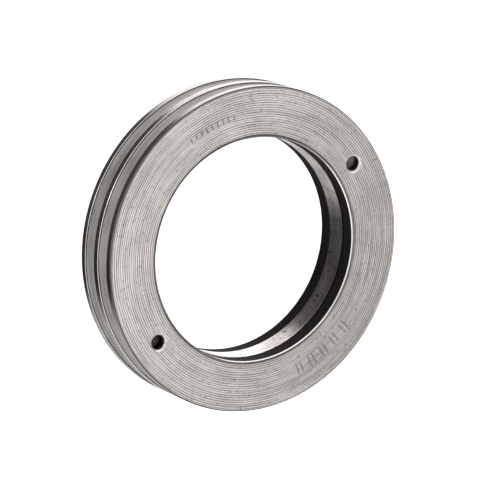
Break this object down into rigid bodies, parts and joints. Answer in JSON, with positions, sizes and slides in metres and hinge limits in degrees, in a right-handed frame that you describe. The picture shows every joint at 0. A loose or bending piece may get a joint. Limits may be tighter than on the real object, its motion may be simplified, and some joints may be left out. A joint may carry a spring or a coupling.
{
  "type": "thrust ball bearing",
  "caption": "Flat double-direction thrust ball bearing: ground washers, turned solid cages and two rows of balls around an open bore.",
  "frame": {"origin": "centre of the rear face, on the bearing axis, at the base of the part", "axes": "+Z is the bearing axis and leaves the front face; the part is round about +Z"},
  "size_m": [0.073, 0.073, 0.013],
  "materials": {
    "ground_steel": "turned faces with fine circular lines, ground rims",
    "shaft_washer_steel": "ground rim, rougher turned bore",
    "turned_cage": "dull turned steel",
    "ball_steel": "polished"
  },
  "bodies": {
    "rear_washer": {"rear_housing_washer": "ground_steel"},
    "central_washer": {"central_shaft_washer": "shaft_washer_steel"},
    "front_washer": {"front_housing_washer": "ground_steel"},
    "lower_cage_ring": {"lower_cage": "turned_cage"},
    "upper_cage_ring": {"upper_cage": "turned_cage"},
    "lower_ball_01": {"lower_ball_01": "ball_steel"},
    "lower_ball_02": {"lower_ball_02": "ball_steel"},
    "lower_ball_03": {"lower_ball_03": "ball_steel"},
    "lower_ball_04": {"lower_ball_04": "ball_steel"},
    "lower_ball_05": {"lower_ball_05": "ball_steel"},
    "lower_ball_06": {"lower_ball_06": "ball_steel"},
    "lower_ball_07": {"lower_ball_07": "ball_steel"},
    "lower_ball_08": {"lower_ball_08": "ball_steel"},
    "lower_ball_09": {"lower_ball_09": "ball_steel"},
    "lower_ball_10": {"lower_ball_10": "ball_steel"},
    "lower_ball_11": {"lower_ball_11": "ball_steel"},
    "lower_ball_12": {"lower_ball_12": "ball_steel"},
    "lower_ball_13": {"lower_ball_13": "ball_steel"},
    "lower_ball_14": {"lower_ball_14": "ball_steel"},
    "lower_ball_15": {"lower_ball_15": "ball_steel"},
    "lower_ball_16": {"lower_ball_16": "ball_steel"},
    "lower_ball_17": {"lower_ball_17": "ball_steel"},
    "lower_ball_18": {"lower_ball_18": "ball_steel"},
    "lower_ball_19": {"lower_ball_19": "ball_steel"},
    "lower_ball_20": {"lower_ball_20": "ball_steel"},
    "upper_ball_01": {"upper_ball_01": "ball_steel"},
    "upper_ball_02": {"upper_ball_02": "ball_steel"},
    "upper_ball_03": {"upper_ball_03": "ball_steel"},
    "upper_ball_04": {"upper_ball_04": "ball_steel"},
    "upper_ball_05": {"upper_ball_05": "ball_steel"},
    "upper_ball_06": {"upper_ball_06": "ball_steel"},
    "upper_ball_07": {"upper_ball_07": "ball_steel"},
    "upper_ball_08": {"upper_ball_08": "ball_steel"},
    "upper_ball_09": {"upper_ball_09": "ball_steel"},
    "upper_ball_10": {"upper_ball_10": "ball_steel"},
    "upper_ball_11": {"upper_ball_11": "ball_steel"},
    "upper_ball_12": {"upper_ball_12": "ball_steel"},
    "upper_ball_13": {"upper_ball_13": "ball_steel"},
    "upper_ball_14": {"upper_ball_14": "ball_steel"},
    "upper_ball_15": {"upper_ball_15": "ball_steel"},
    "upper_ball_16": {"upper_ball_16": "ball_steel"},
    "upper_ball_17": {"upper_ball_17": "ball_steel"},
    "upper_ball_18": {"upper_ball_18": "ball_steel"},
    "upper_ball_19": {"upper_ball_19": "ball_steel"},
    "upper_ball_20": {"upper_ball_20": "ball_steel"}
  },
  "joints": [
    {"name": "central_spin", "type": "hinge", "parent": "rear_washer", "child": "central_washer", "pos_m": [0, 0, 0.0065], "axis": [0, 0, 1], "continuous": true},
    {"name": "front_spin", "type": "hinge", "parent": "central_washer", "child": "front_washer", "pos_m": [0, 0, 0.012], "axis": [0, 0, 1], "continuous": true},
    {"name": "lower_cage_spin", "type": "hinge", "parent": "rear_washer", "child": "lower_cage_ring", "pos_m": [0, 0, 0.0037], "axis": [0, 0, 1], "continuous": true},
    {"name": "upper_cage_spin", "type": "hinge", "parent": "central_washer", "child": "upper_cage_ring", "pos_m": [0, 0, 0.0093], "axis": [0, 0, 1], "continuous": true},
    {"name": "lower_ball_01_roll", "type": "hinge", "parent": "lower_cage_ring", "child": "lower_ball_01", "pos_m": [0.03147, 0.00727, 0.0037], "axis": [0.9744, 0.225, 0], "continuous": true},
    {"name": "lower_ball_02_roll", "type": "hinge", "parent": "lower_cage_ring", "child": "lower_ball_02", "pos_m": [0.02769, 0.01664, 0.0037], "axis": [0.8572, 0.515, 0], "continuous": true},
    {"name": "lower_ball_03_roll", "type": "hinge", "parent": "lower_cage_ring", "child": "lower_ball_03", "pos_m": [0.02119, 0.02438, 0.0037], "axis": [0.6561, 0.7547, 0], "continuous": true},
    {"name": "lower_ball_04_roll", "type": "hinge", "parent": "lower_cage_ring", "child": "lower_ball_04", "pos_m": [0.01262, 0.02973, 0.0037], "axis": [0.3907, 0.9205, 0], "continuous": true},
    {"name": "lower_ball_05_roll", "type": "hinge", "parent": "lower_cage_ring", "child": "lower_ball_05", "pos_m": [0.00282, 0.03218, 0.0037], "axis": [0.0872, 0.9962, 0], "continuous": true},
    {"name": "lower_ball_06_roll", "type": "hinge", "parent": "lower_cage_ring", "child": "lower_ball_06", "pos_m": [-0.00727, 0.03147, 0.0037], "axis": [-0.225, 0.9744, 0], "continuous": true},
    {"name": "lower_ball_07_roll", "type": "hinge", "parent": "lower_cage_ring", "child": "lower_ball_07", "pos_m": [-0.01664, 0.02769, 0.0037], "axis": [-0.515, 0.8572, 0], "continuous": true},
    {"name": "lower_ball_08_roll", "type": "hinge", "parent": "lower_cage_ring", "child": "lower_ball_08", "pos_m": [-0.02438, 0.02119, 0.0037], "axis": [-0.7547, 0.6561, 0], "continuous": true},
    {"name": "lower_ball_09_roll", "type": "hinge", "parent": "lower_cage_ring", "child": "lower_ball_09", "pos_m": [-0.02973, 0.01262, 0.0037], "axis": [-0.9205, 0.3907, 0], "continuous": true},
    {"name": "lower_ball_10_roll", "type": "hinge", "parent": "lower_cage_ring", "child": "lower_ball_10", "pos_m": [-0.03218, 0.00282, 0.0037], "axis": [-0.9962, 0.0872, 0], "continuous": true},
    {"name": "lower_ball_11_roll", "type": "hinge", "parent": "lower_cage_ring", "child": "lower_ball_11", "pos_m": [-0.03147, -0.00727, 0.0037], "axis": [-0.9744, -0.225, 0], "continuous": true},
    {"name": "lower_ball_12_roll", "type": "hinge", "parent": "lower_cage_ring", "child": "lower_ball_12", "pos_m": [-0.02769, -0.01664, 0.0037], "axis": [-0.8572, -0.515, 0], "continuous": true},
    {"name": "lower_ball_13_roll", "type": "hinge", "parent": "lower_cage_ring", "child": "lower_ball_13", "pos_m": [-0.02119, -0.02438, 0.0037], "axis": [-0.6561, -0.7547, 0], "continuous": true},
    {"name": "lower_ball_14_roll", "type": "hinge", "parent": "lower_cage_ring", "child": "lower_ball_14", "pos_m": [-0.01262, -0.02973, 0.0037], "axis": [-0.3907, -0.9205, 0], "continuous": true},
    {"name": "lower_ball_15_roll", "type": "hinge", "parent": "lower_cage_ring", "child": "lower_ball_15", "pos_m": [-0.00282, -0.03218, 0.0037], "axis": [-0.0872, -0.9962, 0], "continuous": true},
    {"name": "lower_ball_16_roll", "type": "hinge", "parent": "lower_cage_ring", "child": "lower_ball_16", "pos_m": [0.00727, -0.03147, 0.0037], "axis": [0.225, -0.9744, 0], "continuous": true},
    {"name": "lower_ball_17_roll", "type": "hinge", "parent": "lower_cage_ring", "child": "lower_ball_17", "pos_m": [0.01664, -0.02769, 0.0037], "axis": [0.515, -0.8572, 0], "continuous": true},
    {"name": "lower_ball_18_roll", "type": "hinge", "parent": "lower_cage_ring", "child": "lower_ball_18", "pos_m": [0.02438, -0.02119, 0.0037], "axis": [0.7547, -0.6561, 0], "continuous": true},
    {"name": "lower_ball_19_roll", "type": "hinge", "parent": "lower_cage_ring", "child": "lower_ball_19", "pos_m": [0.02973, -0.01262, 0.0037], "axis": [0.9205, -0.3907, 0], "continuous": true},
    {"name": "lower_ball_20_roll", "type": "hinge", "parent": "lower_cage_ring", "child": "lower_ball_20", "pos_m": [0.03218, -0.00282, 0.0037], "axis": [0.9962, -0.0872, 0], "continuous": true},
    {"name": "upper_ball_01_roll", "type": "hinge", "parent": "upper_cage_ring", "child": "upper_ball_01", "pos_m": [0.03147, 0.00727, 0.0093], "axis": [0.9744, 0.225, 0], "continuous": true},
    {"name": "upper_ball_02_roll", "type": "hinge", "parent": "upper_cage_ring", "child": "upper_ball_02", "pos_m": [0.02769, 0.01664, 0.0093], "axis": [0.8572, 0.515, 0], "continuous": true},
    {"name": "upper_ball_03_roll", "type": "hinge", "parent": "upper_cage_ring", "child": "upper_ball_03", "pos_m": [0.02119, 0.02438, 0.0093], "axis": [0.6561, 0.7547, 0], "continuous": true},
    {"name": "upper_ball_04_roll", "type": "hinge", "parent": "upper_cage_ring", "child": "upper_ball_04", "pos_m": [0.01262, 0.02973, 0.0093], "axis": [0.3907, 0.9205, 0], "continuous": true},
    {"name": "upper_ball_05_roll", "type": "hinge", "parent": "upper_cage_ring", "child": "upper_ball_05", "pos_m": [0.00282, 0.03218, 0.0093], "axis": [0.0872, 0.9962, 0], "continuous": true},
    {"name": "upper_ball_06_roll", "type": "hinge", "parent": "upper_cage_ring", "child": "upper_ball_06", "pos_m": [-0.00727, 0.03147, 0.0093], "axis": [-0.225, 0.9744, 0], "continuous": true},
    {"name": "upper_ball_07_roll", "type": "hinge", "parent": "upper_cage_ring", "child": "upper_ball_07", "pos_m": [-0.01664, 0.02769, 0.0093], "axis": [-0.515, 0.8572, 0], "continuous": true},
    {"name": "upper_ball_08_roll", "type": "hinge", "parent": "upper_cage_ring", "child": "upper_ball_08", "pos_m": [-0.02438, 0.02119, 0.0093], "axis": [-0.7547, 0.6561, 0], "continuous": true},
    {"name": "upper_ball_09_roll", "type": "hinge", "parent": "upper_cage_ring", "child": "upper_ball_09", "pos_m": [-0.02973, 0.01262, 0.0093], "axis": [-0.9205, 0.3907, 0], "continuous": true},
    {"name": "upper_ball_10_roll", "type": "hinge", "parent": "upper_cage_ring", "child": "upper_ball_10", "pos_m": [-0.03218, 0.00282, 0.0093], "axis": [-0.9962, 0.0872, 0], "continuous": true},
    {"name": "upper_ball_11_roll", "type": "hinge", "parent": "upper_cage_ring", "child": "upper_ball_11", "pos_m": [-0.03147, -0.00727, 0.0093], "axis": [-0.9744, -0.225, 0], "continuous": true},
    {"name": "upper_ball_12_roll", "type": "hinge", "parent": "upper_cage_ring", "child": "upper_ball_12", "pos_m": [-0.02769, -0.01664, 0.0093], "axis": [-0.8572, -0.515, 0], "continuous": true},
    {"name": "upper_ball_13_roll", "type": "hinge", "parent": "upper_cage_ring", "child": "upper_ball_13", "pos_m": [-0.02119, -0.02438, 0.0093], "axis": [-0.6561, -0.7547, 0], "continuous": true},
    {"name": "upper_ball_14_roll", "type": "hinge", "parent": "upper_cage_ring", "child": "upper_ball_14", "pos_m": [-0.01262, -0.02973, 0.0093], "axis": [-0.3907, -0.9205, 0], "continuous": true},
    {"name": "upper_ball_15_roll", "type": "hinge", "parent": "upper_cage_ring", "child": "upper_ball_15", "pos_m": [-0.00282, -0.03218, 0.0093], "axis": [-0.0872, -0.9962, 0], "continuous": true},
    {"name": "upper_ball_16_roll", "type": "hinge", "parent": "upper_cage_ring", "child": "upper_ball_16", "pos_m": [0.00727, -0.03147, 0.0093], "axis": [0.225, -0.9744, 0], "continuous": true},
    {"name": "upper_ball_17_roll", "type": "hinge", "parent": "upper_cage_ring", "child": "upper_ball_17", "pos_m": [0.01664, -0.02769, 0.0093], "axis": [0.515, -0.8572, 0], "continuous": true},
    {"name": "upper_ball_18_roll", "type": "hinge", "parent": "upper_cage_ring", "child": "upper_ball_18", "pos_m": [0.02438, -0.02119, 0.0093], "axis": [0.7547, -0.6561, 0], "continuous": true},
    {"name": "upper_ball_19_roll", "type": "hinge", "parent": "upper_cage_ring", "child": "upper_ball_19", "pos_m": [0.02973, -0.01262, 0.0093], "axis": [0.9205, -0.3907, 0], "continuous": true},
    {"name": "upper_ball_20_roll", "type": "hinge", "parent": "upper_cage_ring", "child": "upper_ball_20", "pos_m": [0.03218, -0.00282, 0.0093], "axis": [0.9962, -0.0872, 0], "continuous": true}
  ],
  "couplings": [
    {"joint": "lower_cage_spin", "follows": "central_spin", "ratio": 0.5},
    {"joint": "upper_cage_spin", "follows": "front_spin", "ratio": 0.5},
    {"joint": "lower_ball_01_roll", "follows": "central_spin", "ratio": -6.7829},
    {"joint": "lower_ball_02_roll", "follows": "central_spin", "ratio": -6.7829},
    {"joint": "lower_ball_03_roll", "follows": "central_spin", "ratio": -6.7829},
    {"joint": "lower_ball_04_roll", "follows": "central_spin", "ratio": -6.7829},
    {"joint": "lower_ball_05_roll", "follows": "central_spin", "ratio": -6.7829},
    {"joint": "lower_ball_06_roll", "follows": "central_spin", "ratio": -6.7829},
    {"joint": "lower_ball_07_roll", "follows": "central_spin", "ratio": -6.7829},
    {"joint": "lower_ball_08_roll", "follows": "central_spin", "ratio": -6.7829},
    {"joint": "lower_ball_09_roll", "follows": "central_spin", "ratio": -6.7829},
    {"joint": "lower_ball_10_roll", "follows": "central_spin", "ratio": -6.7829},
    {"joint": "lower_ball_11_roll", "follows": "central_spin", "ratio": -6.7829},
    {"joint": "lower_ball_12_roll", "follows": "central_spin", "ratio": -6.7829},
    {"joint": "lower_ball_13_roll", "follows": "central_spin", "ratio": -6.7829},
    {"joint": "lower_ball_14_roll", "follows": "central_spin", "ratio": -6.7829},
    {"joint": "lower_ball_15_roll", "follows": "central_spin", "ratio": -6.7829},
    {"joint": "lower_ball_16_roll", "follows": "central_spin", "ratio": -6.7829},
    {"joint": "lower_ball_17_roll", "follows": "central_spin", "ratio": -6.7829},
    {"joint": "lower_ball_18_roll", "follows": "central_spin", "ratio": -6.7829},
    {"joint": "lower_ball_19_roll", "follows": "central_spin", "ratio": -6.7829},
    {"joint": "lower_ball_20_roll", "follows": "central_spin", "ratio": -6.7829},
    {"joint": "upper_ball_01_roll", "follows": "front_spin", "ratio": -6.7829},
    {"joint": "upper_ball_02_roll", "follows": "front_spin", "ratio": -6.7829},
    {"joint": "upper_ball_03_roll", "follows": "front_spin", "ratio": -6.7829},
    {"joint": "upper_ball_04_roll", "follows": "front_spin", "ratio": -6.7829},
    {"joint": "upper_ball_05_roll", "follows": "front_spin", "ratio": -6.7829},
    {"joint": "upper_ball_06_roll", "follows": "front_spin", "ratio": -6.7829},
    {"joint": "upper_ball_07_roll", "follows": "front_spin", "ratio": -6.7829},
    {"joint": "upper_ball_08_roll", "follows": "front_spin", "ratio": -6.7829},
    {"joint": "upper_ball_09_roll", "follows": "front_spin", "ratio": -6.7829},
    {"joint": "upper_ball_10_roll", "follows": "front_spin", "ratio": -6.7829},
    {"joint": "upper_ball_11_roll", "follows": "front_spin", "ratio": -6.7829},
    {"joint": "upper_ball_12_roll", "follows": "front_spin", "ratio": -6.7829},
    {"joint": "upper_ball_13_roll", "follows": "front_spin", "ratio": -6.7829},
    {"joint": "upper_ball_14_roll", "follows": "front_spin", "ratio": -6.7829},
    {"joint": "upper_ball_15_roll", "follows": "front_spin", "ratio": -6.7829},
    {"joint": "upper_ball_16_roll", "follows": "front_spin", "ratio": -6.7829},
    {"joint": "upper_ball_17_roll", "follows": "front_spin", "ratio": -6.7829},
    {"joint": "upper_ball_18_roll", "follows": "front_spin", "ratio": -6.7829},
    {"joint": "upper_ball_19_roll", "follows": "front_spin", "ratio": -6.7829},
    {"joint": "upper_ball_20_roll", "follows": "front_spin", "ratio": -6.7829}
  ]
}
